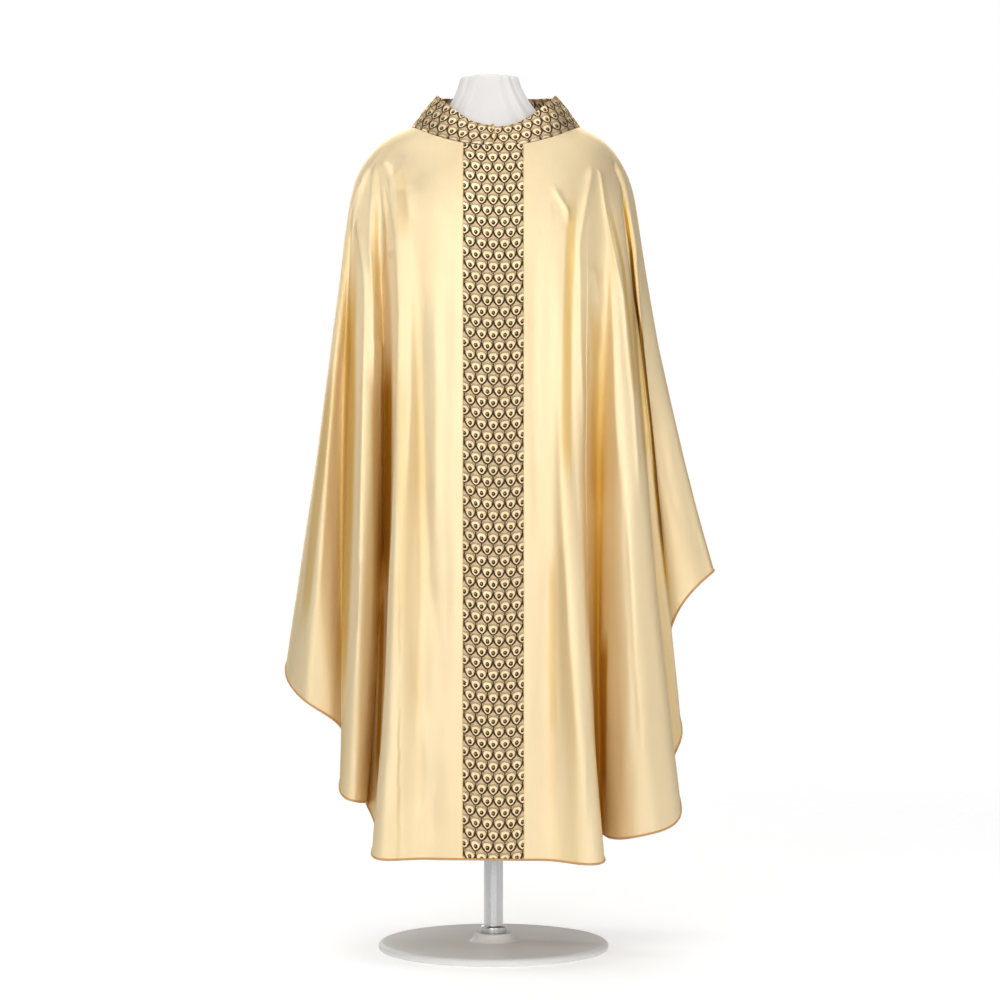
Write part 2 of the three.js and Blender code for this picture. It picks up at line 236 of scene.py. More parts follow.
# Finer creases that lie on the big folds, as seen from the front or the back. Each has the
# reach of its left and right flank as the viewer sees them, its height (a ridge is
# positive, a trough negative) and the points x, z that it runs through, from the top down.
FRONT_CREASES = [
    # left, right, height, line
    (5, 22, 4.0, [(-184, 1296), (-175, 1268), (-162, 1208), (-156, 1160), (-151, 1040), (-153, 872),
        (-158, 690), (-168, 512), (-178, 350)]),
    (2, 4, -2.2, [(-178, 1300), (-166, 1282), (-160, 1262)]),
    (6, 10, 2.6, [(-196, 1296), (-203, 1282), (-220, 1246), (-232, 1208), (-240, 1161), (-249, 1075),
        (-258, 985), (-265, 873)]),
    (4, 4, 2.4, [(-156, 1152), (-170, 1131)]),
    (5, 9, 3.6, [(-192, 1290), (-194, 1262), (-199, 1200), (-200, 1152), (-196, 1070), (-194, 900)]),
    (5, 4, -2.4, [(-186, 1280), (-184, 1240), (-178, 1172), (-179, 1124), (-184, 1080)]),
    (5, 8, 3.2, [(-221, 1200), (-216, 1160), (-209, 1103), (-208, 1052), (-210, 900), (-217, 512),
        (-226, 340)]),
    (14, 16, -4.0, [(-222, 1110), (-230, 1010), (-240, 901), (-248, 739), (-255, 512), (-262, 400)]),
    (14, 10, 3.0, [(-244, 1100), (-264, 900), (-276, 700), (-288, 512)]),
    (14, 26, -3.0, [(-167, 1300), (-147, 1266), (-140, 1230)]),
    (12, 16, 2.0, [(-134, 1262), (-142, 1236), (-130, 1180)]),
    (22, 14, -2.6, [(-114, 1274), (-141, 1240)]),
    (18, 12, -3.0, [(-118, 1108), (-116, 900), (-96, 500)]),
    (10, 14, 2.6, [(-131, 1130), (-132, 900), (-142, 700)]),
    (14, 14, 2.2, [(-94, 1120), (-90, 900), (-92, 640)]),
    (16, 14, -1.8, [(-76, 1160), (-78, 800), (-72, 420)]),
    (16, 18, -2.0, [(-104, 640), (-84, 500), (-78, 380)]),
    (14, 18, 2.2, [(-112, 420), (-104, 300), (-118, 190)]),
    (10, 12, -1.8, [(-84, 330), (-96, 250), (-92, 190)]),
    (5, 5, 3.2, [(93, 1246), (119, 1205), (121, 1180)]),
    (6, 12, 4.0, [(160, 1283), (146, 1208), (137, 1153), (138, 1036), (142, 900), (146, 800)]),
    (20, 9, -4.0, [(120, 1200), (124, 1100), (126, 900), (134, 760), (140, 600)]),
    (18, 16, 3.0, [(98, 1036), (104, 900), (112, 700), (124, 500), (150, 190)]),
    (16, 22, -2.4, [(92, 690), (88, 500), (90, 172)]),
    (14, 12, -2.0, [(70, 1180), (66, 900), (72, 600)]),
    (4, 8, 3.2, [(170, 1277), (180, 1208), (194, 1140), (208, 1070), (214, 1002), (224, 900), (236, 700)]),
    (10, 10, 2.4, [(186, 1172), (190, 1104), (194, 1002), (196, 900), (204, 740)]),
    (14, 12, 2.6, [(160, 1122), (168, 1072), (170, 1040)]),
    (16, 18, -3.4, [(160, 1045), (164, 900), (166, 700)]),
    (5, 8, 3.0, [(200, 1284), (212, 1250), (222, 1202), (236, 1122), (246, 1040)]),
    (10, 10, -2.2, [(208, 760), (222, 480), (232, 300)]),
    (10, 12, 2.4, [(214, 770), (228, 480), (246, 260)]),
    (12, 12, -2.4, [(262, 900), (286, 780), (306, 700)]),
    (4, 3, -8.0, [(199, 1292), (213, 1250), (220, 1180), (230, 1093), (241, 1006), (251, 901),
        (257, 860), (266, 747), (281, 609), (291, 528)]),
    (9, 3, 3.4, [(-184, 1000), (-185, 880), (-184, 739), (-182, 600), (-186, 450), (-194, 300)]),
]
BACK_CREASES = [
    (6, 20, 4.6, [(158, 1284), (146, 1220), (140, 1150), (136, 950), (140, 700)]),
    (18, 12, -5.0, [(176, 1262), (170, 1160), (166, 900), (172, 700), (180, 480)]),
    (14, 10, 4.2, [(120, 1252), (112, 1160), (116, 900), (128, 640), (140, 400)]),
    (24, 18, -5.4, [(74, 1250), (66, 1100), (60, 800), (70, 480), (76, 250)]),
    (16, 22, 4.8, [(36, 1206), (30, 1000), (40, 700), (52, 420), (56, 176)]),
    (22, 26, -5.2, [(-8, 1240), (-6, 1080), (4, 760), (-10, 300), (-12, 176)]),
    (14, 20, 4.8, [(-46, 1200), (-54, 940), (-48, 640), (-66, 250)]),
    (20, 14, -5.2, [(-90, 1252), (-92, 1080), (-96, 820), (-84, 520), (-92, 240)]),
    (12, 18, 4.6, [(-124, 1240), (-128, 1060), (-124, 860), (-136, 560)]),
    (5, 8, 4.2, [(-164, 1280), (-176, 1200), (-186, 1080), (-190, 900)]),
    (14, 10, -4.4, [(-206, 1230), (-218, 1080), (-232, 880), (-246, 640)]),
    (6, 8, 4.0, [(200, 1270), (216, 1190), (232, 1080), (246, 940), (262, 760)]),
    (16, 14, 3.6, [(96, 520), (90, 360), (100, 190)]),
    (12, 12, 3.0, [(8, 620), (14, 400), (20, 176)]),
    (14, 16, 3.6, [(-104, 430), (-96, 300), (-110, 190)]),
]
CREST = 0.2  # how round a ridge's crest is, as a share of its flank
TROUGH = 0.5  # the same for a trough
STEEPNESS = 1.5  # how fast a crease falls off across its flanks
FACING = 2.5  # it is whole where the cloth's normal points to its side by 1 / FACING
NARROW = 6  # a crease with a flank this narrow comes up at once at its top,
START = 3.5  # over this many times its narrow flank
FADE = 0.25  # other ends fade over this share of the crease's length


def beside(line, left, right, x, z):
    """How far points lie across a line, in flanks, below its top and above its foot."""
    line_x, line_z = np.array(line[::-1]).T
    away = x - np.interp(z, line_z, line_x)
    return away / np.where(away < 0, left, right), line_z[-1] - z, z - line_z[0]


def creases(points, normals):
    """How far the listed creases lift the cloth, at each point of a grid."""
    x, y, z = np.moveaxis(points, -1, 0)
    lift = np.zeros_like(x)
    for table, facing in ((FRONT_CREASES, -1), (BACK_CREASES, 1)):
        seen = np.clip(facing * normals[..., 1] * FACING, 0, 1)
        for left, right, height, line in table:
            away, down, up = beside(line, left, right, x, z)
            length = line[0][1] - line[-1][1]
            narrow = min(left, right)
            rise = START * narrow if narrow <= NARROW else FADE * length
            ends = smooth(np.clip(np.minimum(down / rise, up / length / FADE), 0, 1))
            crest = CREST if height > 0 else TROUGH
            lift += height * np.exp(STEEPNESS * (crest - np.sqrt(away * away + crest ** 2))) * ends * seen
    return lift


# Unevenness of hanging satin: size across, size down, height, where it starts to show
RIPPLES = [
    (34, 420, 1.5, 1230),
    (15, 150, 0.45, 1240),
    (60, 90, 0.7, 620),
]
RIPPLE_GROWTH = 260  # they reach their full height over this
RIPPLE_SEED = 40
SIDE_FROM = 150  # further out than this the cloth turns round to the side,
SIDE_TURN = 0.6  # so that this share of y counts as well
BACK_SHIFT = 17.3  # keeps the ripples of the back unlike the front's


def ripples(points):
    """How far the satin's unevenness lifts the cloth."""
    x, y, z = np.moveaxis(points, -1, 0)
    along = np.where(np.abs(x) > SIDE_FROM, np.sign(x) * (np.abs(x) + SIDE_TURN * np.abs(y)), x)
    lift = np.zeros_like(x)
    for k, (across, down, height, start) in enumerate(RIPPLES):
        grown = np.clip((start - z) / RIPPLE_GROWTH, 0, 1)
        side = np.where(y < 0, 0, BACK_SHIFT)
        lift += height * grown * value_noise(along / across + side, z / down, RIPPLE_SEED + k)
    return lift


def cloth(u, v):
    """The finished middle of the satin and its normals."""
    points = smooth_cloth(u, v)
    normals = grid_normals(points)
    lift = creases(points, normals) + ripples(points) - side_seam(u)[:, None]
    points = points + normals * lift[..., None]
    return points, grid_normals(points)


def side_seam(u):
    """How far the cloth dips beside the two side seams."""
    gap = np.minimum(np.abs(u - SEAM_RIGHT), np.minimum(u, AROUND - u))
    return SEAM_DIP * np.exp(-(gap / SEAM_REACH) ** 2)


def lengths(points, axis):
    """Length along a grid's lines in one direction, in metres."""
    steps = np.linalg.norm(np.diff(points, axis=axis), axis=-1) * MM
    pad = [(0, 0), (0, 0)]
    pad[axis] = (1, 0)
    return np.pad(np.cumsum(steps, axis=axis), pad)


def new_piece(name, points, faces, material, uv=None, sharp=40, painted_shade=None):
    """A smooth mesh piece that rides with the part. points are in millimetres."""
    mesh = bpy.data.meshes.new(name)
    mesh.from_pydata((np.asarray(points).reshape(-1, 3) * MM).tolist(), [], faces)
    mesh.polygons.foreach_set("use_smooth", [True] * len(mesh.polygons))
    if uv is not None:
        layer = mesh.uv_layers.new(name="cloth")
        index = np.empty(len(mesh.loops), dtype=np.int32)
        mesh.loops.foreach_get("vertex_index", index)
        layer.data.foreach_set("uv", np.asarray(uv).reshape(-1, 2)[index].ravel())
    # Painted shade for the satin's colour, kept as a point attribute
    if painted_shade is not None:
        mesh.attributes.new("painted_shade", "FLOAT", "POINT").data.foreach_set("value", np.asarray(painted_shade).ravel())
    mesh.set_sharp_from_angle(angle=math.radians(sharp))
    mesh.materials.append(material)
    piece = bpy.data.objects.new(name, mesh)
    SCENE.collection.objects.link(piece)
    return piece


def shell_faces(columns, rows):
    """Quads of a thin closed shell: an outer grid, an inner one and the strips between."""
    at = lambda i, j: i * rows + j
    layer = columns * rows
    faces = []
    for i in range(columns - 1):
        for j in range(rows - 1):
            a, b, c, d = at(i, j), at(i, j + 1), at(i + 1, j + 1), at(i + 1, j)
            faces.append((a, b, c, d))
            faces.append((a + layer, d + layer, c + layer, b + layer))
    rim = [at(i, 0) for i in range(columns - 1)]
    rim += [at(columns - 1, j) for j in range(rows - 1)]
    rim += [at(i, rows - 1) for i in range(columns - 1, 0, -1)]
    rim += [at(0, j) for j in range(rows - 1, 0, -1)]
    for k, a in enumerate(rim):
        b = rim[(k + 1) % len(rim)]
        faces.append((a, b, b + layer, a + layer))
    return faces


def ring_faces(rings, sides):
    """Quads between closed rings of points, with a cap at each end."""
    faces = [
        (i * sides + k, i * sides + (k + 1) % sides, (i + 1) * sides + (k + 1) % sides, (i + 1) * sides + k)
        for i in range(rings - 1) for k in range(sides)
    ]
    faces.append(tuple(range(sides - 1, -1, -1)))
    faces.append(tuple((rings - 1) * sides + k for k in range(sides)))
    return faces


def shell(name, points, normals, inner, outer, material, uv, painted_shade=None):
    """A thin closed piece of cloth between two distances from a grid of points."""
    columns, rows = points.shape[:2]
    both = np.concatenate([
        (points + normals * outer).reshape(-1, 3),
        (points + normals * inner).reshape(-1, 3),
    ])
    twice = np.concatenate([uv.reshape(-1, 2)] * 2)
    # Painted shade, the same on both layers
    if painted_shade is not None:
        painted_shade = np.concatenate([painted_shade.ravel(), painted_shade.ravel()])
    return new_piece(name, both, shell_faces(columns, rows), material, twice, painted_shade=painted_shade)


class Maths:
    """A number in a shader tree, so that a pattern can be written as plain arithmetic."""

    def __init__(self, tree, socket):
        self.tree = tree
        self.socket = socket

    def node(self, operation, *others):
        made = self.tree.nodes.new("ShaderNodeMath")
        made.operation = operation
        for slot, value in zip(made.inputs, (self, *others)):
            if isinstance(value, Maths):
                self.tree.links.new(value.socket, slot)
            else:
                slot.default_value = value
        return Maths(self.tree, made.outputs[0])

    __add__ = partialmethod(node, "ADD")
    __sub__ = partialmethod(node, "SUBTRACT")
    __mul__ = partialmethod(node, "MULTIPLY")
    __truediv__ = partialmethod(node, "DIVIDE")

    def wave(self, length):
        """A sine from -1 to 1 with the given wavelength."""
        return (self * (2 * math.pi / length)).node("SINE")

    def fall(self, low, high):
        """1 below low, 0 above high, smooth between."""
        made = self.tree.nodes.new("ShaderNodeMapRange")
        made.interpolation_type = "SMOOTHSTEP"
        self.tree.links.new(self.socket, made.inputs["Value"])
        made.inputs["From Min"].default_value = low
        made.inputs["From Max"].default_value = high
        made.inputs["To Min"].default_value = 1
        made.inputs["To Max"].default_value = 0
        return Maths(self.tree, made.outputs[0])


class Material:
    """A principled material with helpers for its nodes."""

    def __init__(self, name, **constants):
        self.material = bpy.data.materials.new(name)
        self.material.use_nodes = True
        self.tree = self.material.node_tree
        self.shader = self.tree.nodes["Principled BSDF"]
        for key, value in constants.items():
            self.shader.inputs[key.replace("_", " ")].default_value = value

    def link(self, source, target):
        self.tree.links.new(source.socket if isinstance(source, Maths) else source, target)

    def feed(self, name, source):
        self.link(source, self.shader.inputs[name])

    def uv(self):
        """The cloth's own coordinates, in metres, as two numbers."""
        made = self.tree.nodes.new("ShaderNodeUVMap")
        made.uv_map = "cloth"
        parts = self.tree.nodes.new("ShaderNodeSeparateXYZ")
        self.link(made.outputs[0], parts.inputs[0])
        return Maths(self.tree, parts.outputs[0]), Maths(self.tree, parts.outputs[1])

    def attribute(self, name):
        made = self.tree.nodes.new("ShaderNodeAttribute")
        made.attribute_name = name
        return Maths(self.tree, made.outputs["Fac"])

    def place(self, stretch=(1, 1, 1)):
        """Object coordinates, stretched along each axis."""
        made = self.tree.nodes.new("ShaderNodeTexCoord")
        mapped = self.tree.nodes.new("ShaderNodeMapping")
        mapped.inputs["Scale"].default_value = stretch
        self.link(made.outputs["Object"], mapped.inputs["Vector"])
        return mapped.outputs[0]

    def noise(self, size, stretch=(1, 1, 1), detail=2):
        """Noise from 0 to 1 with features of one size, in metres."""
        made = self.tree.nodes.new("ShaderNodeTexNoise")
        made.inputs["Scale"].default_value = 1 / size
        made.inputs["Detail"].default_value = detail
        self.link(self.place(stretch), made.inputs["Vector"])
        return Maths(self.tree, made.outputs[0])

    def mix(self, factor, low, high):
        """A colour between low and high, each a colour or a socket."""
        made = self.tree.nodes.new("ShaderNodeMix")
        made.data_type = "RGBA"
        self.link(factor, made.inputs[0])
        for slot, value in ((made.inputs[6], low), (made.inputs[7], high)):
            if isinstance(value, tuple):
                slot.default_value = (*value, 1)
            else:
                self.link(value, slot)
        return made.outputs[2]

    def bump(self, height, distance, strength):
        made = self.tree.nodes.new("ShaderNodeBump")
        made.inputs["Distance"].default_value = distance
        made.inputs["Strength"].default_value = strength
        self.link(height, made.inputs["Height"])
        self.feed("Normal", made.outputs[0])


SATIN_LIGHT = (0.86, 0.72, 0.48)
SATIN_DEEP = (0.81, 0.62, 0.345)
SATIN_FLANK_SHADE = (0.68, 0.45, 0.15)  # painted shade in the flank of a fold
SATIN_FOLD_SHADE = (0.50, 0.24, 0.025)  # painted shade in its depth
SATIN_CREVICE_SHADE = (0.16, 0.07, 0.01)  # painted dark shade where two folds press together
THREAD = 0.0006  # satin thread pitch, in metres
FLOAT = 5  # how many threads each one floats over


def satin_material():
    m = Material("satin", Metallic=0.42, Specular_IOR_Level=0.3, Specular_Tint=(1, 0.84, 0.55, 1))
    s, t = m.uv()
    drift = m.noise(0.12, (1, 1, 0.25))
    streak = m.noise(0.004, (1, 1, 0.02), 1)
    cloth_colour = m.mix(drift * 0.75 + streak * 0.25, SATIN_DEEP, SATIN_LIGHT)
    # Painted shade from the mesh attribute: gold on the flanks of folds, brown in their depths, near black
    # in crevices
    painted_shade = m.attribute("painted_shade")
    shaded_colour = m.mix(painted_shade.fall(0, 0.6) * -1 + 1, cloth_colour, SATIN_FLANK_SHADE)
    shaded_colour = m.mix(painted_shade.fall(0.45, 1) * -1 + 1, shaded_colour, SATIN_FOLD_SHADE)
    m.feed("Base Color", m.mix(painted_shade.fall(1.1, 1.9) * -1 + 1, shaded_colour, SATIN_CREVICE_SHADE))
    m.feed("Roughness", m.noise(0.03, (1, 1, 0.3)) * 0.12 + 0.32)
    weave = s.wave(THREAD) * t.wave(FLOAT * THREAD)
    m.bump(weave * 0.5 + m.noise(0.02, (1, 1, 0.4), 3) * 6, 0.00012, 0.6)
    return m.material


# The jacquard's repeat: drops in staggered rows, each with an eye, in millimetres
REPEAT_ACROSS = 18.6
REPEAT_DOWN = 18.1
DROP_POINT = 8.4  # from the eye down to the drop's point
DROP_CURVE = 3.2  # the power of the curve along the drop's sides
ROW_START = 6.7  # how far the first row stands above the cloth's upper edge
OUTLINE_HALF = (0.75, 1.6)  # the outline is soft between these, times its weight
OUTLINE_WEIGHT = 1.05  # at the eye's height, and it grows by this for each millimetre down
OUTLINE_GROWS = 0.07
OUTLINE_LEAST = 0.55
EYE = dict(centre=(0, -0.3), half=(6.1, 6.7))
EYE_TAPER = 0.045
PUPIL = dict(centre=(0.2, 0.6), half=(1, 1.2))
PUPIL_EDGE = (2.7, 3.5)
GLINT = dict(centre=(-0.4, -0.2), half=(1, 1))
GLINT_EDGE = (0.9, 1.9)
ARCS = 23  # how closely the hatching's arcs follow each other
IRREGULAR = 0.0022  # how far the weave strays from the repeat, in metres
RIB = 0.0011  # pitch of the weave's ribs, in metres
JACQUARD = dict(
    ground=(0.57, 0.425, 0.26),
    outline=(0.048, 0.024, 0.010),
    eye=(0.86, 0.71, 0.44),
    thread=(0.46, 0.30, 0.13),
    # pupil is the colour of the painted glint spot; the rest of the pupil takes the outline colour
    pupil=(0.36, 0.22, 0.09),
    hatch=(0.12, 0.07, 0.027),
)


def radius(x, y, centre, half):
    """Distance from a centre, as a share of an ellipse's half width and half height."""
    across = ((x - centre[0]) / half[0]).node("POWER", 2)
    return (across + ((y - centre[1]) / half[1]).node("POWER", 2)).node("SQRT")


def jacquard_material():
    m = Material("jacquard", Specular_IOR_Level=0.25, Specular_Tint=(1, 0.82, 0.55, 1))
    s, t = m.uv()
    s = s + (m.noise(0.004, detail=1) - 0.5) * IRREGULAR
    t = t + (m.noise(0.0045, detail=1) - 0.5) * IRREGULAR + ROW_START * MM
    half = REPEAT_ACROSS / 2
    above = REPEAT_DOWN - DROP_POINT
    rows = t * (1 / (REPEAT_DOWN * MM))
    row = rows.node("FLOOR")
    y = (rows - row) * REPEAT_DOWN - above
    stagger = row.node("MODULO", 2).node("ABSOLUTE") * 0.5
    x = (s * (1 / (REPEAT_ACROSS * MM)) + stagger).node("FRACT") * REPEAT_ACROSS - half
    width = ((y + above) / REPEAT_DOWN).node("MAXIMUM", 0.001)
    edge = width.node("POWER", DROP_CURVE) * -half + half
    gap = (x.node("ABSOLUTE") - edge).node("ABSOLUTE") * 0.8
    weight = (y * OUTLINE_GROWS + OUTLINE_WEIGHT).node("MAXIMUM", OUTLINE_LEAST)
    outline = (gap / weight).fall(*OUTLINE_HALF)
    eye_r = radius(x * (y * EYE_TAPER + 1), y, **EYE)
    eye = eye_r.fall(0.9, 1.02)
    pupil = radius(x, y, **PUPIL).fall(*PUPIL_EDGE)
    # ring is 0 at the painted glint spot in the pupil and 1 around it
    ring = radius(x, y, **GLINT).fall(*GLINT_EDGE) * -1 + 1
    arcs = ((eye_r * ARCS).node("SINE") * 0.5 + 0.5) * y.fall(-1.0, 5.0) * eye_r.fall(2.0, 2.3)
    colour = m.mix(arcs * 0.85, JACQUARD["ground"], JACQUARD["hatch"])
    colour = m.mix(outline, colour, JACQUARD["outline"])
    colour = m.mix(m.noise(0.0022).fall(0.35, 0.7) * eye, colour, JACQUARD["thread"])
    colour = m.mix(eye * 0.85, colour, JACQUARD["eye"])
    colour = m.mix(pupil, colour, m.mix(ring, JACQUARD["pupil"], JACQUARD["outline"]))
    m.feed("Base Color", colour)
    bright = eye * (pupil * -1 + 1)
    m.feed("Metallic", bright * 0.35 + (outline * -0.4 + 0.5))
    m.feed("Roughness", bright * -0.08 + (outline * 0.3 + 0.36))
    relief = bright + t.wave(RIB) * 0.25 + m.noise(0.0016, detail=1) * 1.2 - outline
    m.bump(relief, 0.00022, 0.8)
    return m.material


def twisted_material(name, metallic, roughness, turn, slant, dark, light, depth):
    """Twisted yarn. turn is the length of one twist, in metres, and slant how it leans."""
    m = Material(name, Metallic=metallic, Roughness=roughness)
    s, t = m.uv()
    twist = (s * (2 * math.pi / turn) + t * slant).node("SINE")
    # Painted shade: the colour is darker in the twist's grooves than on its crests
    m.feed("Base Color", m.mix(twist * 0.5 + 0.5, dark, light))
    m.bump(twist, depth, 0.6)
    return m.material


LINEN_SHADE = (0.70, 0.675, 0.655)
LINEN_LIGHT = (0.79, 0.77, 0.755)
LINEN_THREAD = 0.0009  # in metres


def linen_material():
    m = Material("linen", Roughness=0.8, Sheen_Weight=0.25)
    m.feed("Base Color", m.mix(m.noise(0.05, detail=3), LINEN_SHADE, LINEN_LIGHT))
    grain = m.noise(LINEN_THREAD, (1, 1, 0.5)) + m.noise(LINEN_THREAD, (0.5, 0.5, 2))
    m.bump(grain, 0.0003, 0.4)
    return m.material


def steel_material():
    m = Material("steel", Metallic=1.0, Base_Color=(0.62, 0.62, 0.63, 1))
    m.feed("Roughness", m.noise(0.003, (1, 1, 0.02)) * 0.2 + 0.2)
    return m.material


def paint_material():
    m = Material("paint", Roughness=0.42)
    m.feed("Base Color", m.mix(m.noise(0.2), (0.70, 0.69, 0.67), (0.76, 0.75, 0.73)))
    m.bump(m.noise(0.0012), 0.0002, 0.25)
    return m.material


SATIN = satin_material()
JACQUARD_CLOTH = jacquard_material()
CORD = twisted_material(
    "cord", metallic=0.25, roughness=0.38, turn=0.0022, slant=900, depth=0.00015,
    dark=(0.46, 0.21, 0.05), light=(0.76, 0.42, 0.14),
)
GOLD_THREAD = twisted_material(
    "gold_thread", metallic=0.3, roughness=0.4, turn=0.0018, slant=1200, depth=0.00012,
    dark=(0.56, 0.36, 0.12), light=(0.80, 0.60, 0.27),
)
LINEN = linen_material()
STEEL = steel_material()
PAINT = paint_material()


def inset_ends(points):
    """Draws a panel's side edges in a little, so that two panels never touch."""
    out = points.copy()
    out[0] += unit(points[1] - points[0]) * SEAM_INSET
    out[-1] += unit(points[-2] - points[-1]) * SEAM_INSET
    return out


COLUMN_SAMPLES = 12  # lengths are measured this often between two guide lines,
ROW_SAMPLES = 20  # and this often between two rows


def even_columns(first, last, count):
    """u values that space the columns evenly where the cloth is widest."""
    u = np.linspace(first, last, COLUMN_SAMPLES * (last - first) + 1)
    rows = smooth_cloth(u, np.linspace(0, HEM_ROW, 9))
    steps = np.linalg.norm(np.diff(rows, axis=0), axis=-1).max(axis=1)
    run = np.concatenate([[0], np.cumsum(steps)])
    return np.interp(np.linspace(0, run[-1], count), run, u)


FINE_DOWN_TO = 380  # the mesh is finer over the shoulders, down to this length of cloth
COARSE = 0.55  # how dense its rows are below that, as a share


def even_rows(count):
    """v values that space the rows evenly down the middle of the front, closer on the shoulders."""
    v = np.linspace(0, HEM_ROW, ROW_SAMPLES * HEM_ROW + 1)
    run = lengths(smooth_cloth(np.array([CENTRE, CENTRE + 1]), v), 1)[0] / MM
    weight = np.minimum(run, FINE_DOWN_TO) + COARSE * np.maximum(run - FINE_DOWN_TO, 0)
    return np.interp(np.linspace(0, weight[-1], count), weight, v)


# How deep places in the folds are found for the painted shade: reach in mesh columns, and the depth that
# counts as full shade
HOLLOWS = [(4, 5.4), (24, 46)]
HOLLOW_FROM = 0.1  # shallower ones don't count
FLANK_SHADE = 0.9  # how strong the painted shade is on a fold's flanks as they turn away
FLANK_SHADE_MOST = 0.25  # and at most
SHADE_CORE = 1.6  # a shade below is whole until 1 / SHADE_CORE from its edge

# Painted shade on the flanks and gaps of the front's folds: the reach to the left and right as the viewer
# sees them, the depth of the painted shade and the points x, z that each runs through
FRONT_PAINTED_SHADES = [
    # left, right, depth, line
    (12, 13, 1.0, [(-172, 1010), (-172, 870), (-173, 740), (-176, 650), (-179, 600), (-182, 540)]),
    (5, 6, 1.0, [(-180, 640), (-182, 496), (-185, 382), (-190, 253)]),
    (14, 4, 0.5, [(-188, 1010), (-187, 870), (-186, 720), (-187, 560), (-191, 400)]),
    (17, 17, 0.62, [(-220, 1200), (-231, 1120), (-235, 1010), (-234, 870), (-237, 720), (-242, 580),
        (-248, 450), (-256, 320)]),
    (12, 10, 0.4, [(-256, 1010), (-271, 868), (-288, 720), (-303, 577), (-318, 470)]),
    (8, 20, 0.22, [(-166, 1296), (-152, 1246), (-149, 1208), (-150, 1140)]),
    (5, 5, 0.4, [(-190, 1250), (-189, 1130), (-188, 1010)]),
    (10, 12, 0.25, [(-146, 1010), (-145, 800), (-148, 640), (-152, 440)]),
    (14, 10, 0.45, [(134, 1290), (127, 1200), (124, 1130), (120, 1016), (118, 850), (122, 700)]),
    (17, 16, 0.4, [(158, 1090), (168, 1010), (171, 900), (173, 790), (176, 700)]),
    (4, 5, 0.5, [(173, 1267), (184, 1230), (197, 1172), (209, 1117), (220, 1022), (228, 930), (236, 850)]),
    (4, 4, 2.0, [(199, 1292), (207, 1259), (214, 1218), (224, 1146), (231, 1067), (241, 1000),
        (251, 910), (257, 860), (266, 747), (281, 609), (291, 528)]),
    (16, 8, 0.4, [(218, 1130), (230, 1040), (244, 900), (258, 740)]),
    (10, 10, 0.35, [(96, 700), (94, 500), (96, 300)]),
    (12, 10, 0.9, [(180, 560), (177, 430), (176, 300), (176, 215)]),
]


def painted_fold_shade(points, normals):
    """Painted shade, from 0 on open cloth to 1 in the depth of a fold and 2 in a crevice: how deep the
    colour is.
    """
    depth = np.zeros(points.shape[:2])
    # Painted shade where the cloth lies below its smoothed self
    for reach, full in HOLLOWS:
        side = 3 * reach        # a bell of this reach is nearly nought beyond this
        kernel = np.exp(-0.5 * (np.arange(-side, side + 1) / reach) ** 2)
        kernel /= kernel.sum()
        before = 2 * points[:1] - points[side:0:-1]
        after = 2 * points[-1:] - points[-2:-side - 2:-1]
        padded = np.concatenate([before, points, after])
        soft = sum(padded[k:k + len(points)] * share for k, share in enumerate(kernel))
        depth += np.clip(((soft - points) * normals).sum(-1) / full - HOLLOW_FROM, 0, 1)
    # Painted shade on flanks that turn away from the smoothed cloth
    turned_away = 1 - (grid_normals(soft) * normals).sum(-1)
    depth += np.minimum(FLANK_SHADE * turned_away, FLANK_SHADE_MOST)
    return np.maximum(np.clip(depth, 0, 1), painted_front_shades(points, normals))


def painted_front_shades(points, normals):
    """The listed painted shade at each point, on the cloth that faces the front."""
    x, y, z = np.moveaxis(points, -1, 0)
    front = np.clip((0.35 - normals[..., 1]) * 3, 0, 1)
    shade = np.zeros_like(x)
    for left, right, depth, line in FRONT_PAINTED_SHADES:
        away, down, up = beside(line, left, right, x, z)
        length = line[0][1] - line[-1][1]
        ends = smooth(np.clip(np.minimum(down, up) / length / FADE, 0, 1))
        near = smooth(np.clip(SHADE_CORE * (1 - np.abs(away)), 0, 1))
        shade = np.maximum(shade, depth * near * ends * front)
    return shade


# Columns and rows of the meshes
PANEL_COLUMNS = 330
PANEL_ROWS = 150
BAND_COLUMNS = 33
BAND_ROWS = 240
EDGE_ROWS = 420
COLLAR_COLUMNS = 300


def panel(name, first, last):
    """A panel of satin between two guide lines."""
    points, normals = cloth(even_columns(first, last, PANEL_COLUMNS), even_rows(PANEL_ROWS))
    across, down = lengths(points, 0), lengths(points, 1)
    uv = np.stack([across.mean(axis=1, keepdims=True).repeat(PANEL_ROWS, 1), down], -1)
    half = SATIN_THICK / 2
    return shell(name, inset_ends(points), normals, -half, half, SATIN, uv, painted_fold_shade(points, normals))


def centre_band():
    half = BAND_WIDTH / 2 / BAND_STEP
    v = np.linspace(0, HEM_ROW, BAND_ROWS)
    points, normals = cloth(np.linspace(CENTRE - half, CENTRE + half, BAND_COLUMNS), v)
    uv = np.stack([lengths(points, 0) - BAND_WIDTH / 2 * MM, lengths(points, 1)], -1)
    inner = SATIN_THICK / 2 + BAND_LIFT
    return shell("orphrey_front_cloth", points, normals, inner, inner + BAND_THICK, JACQUARD_CLOTH, uv)


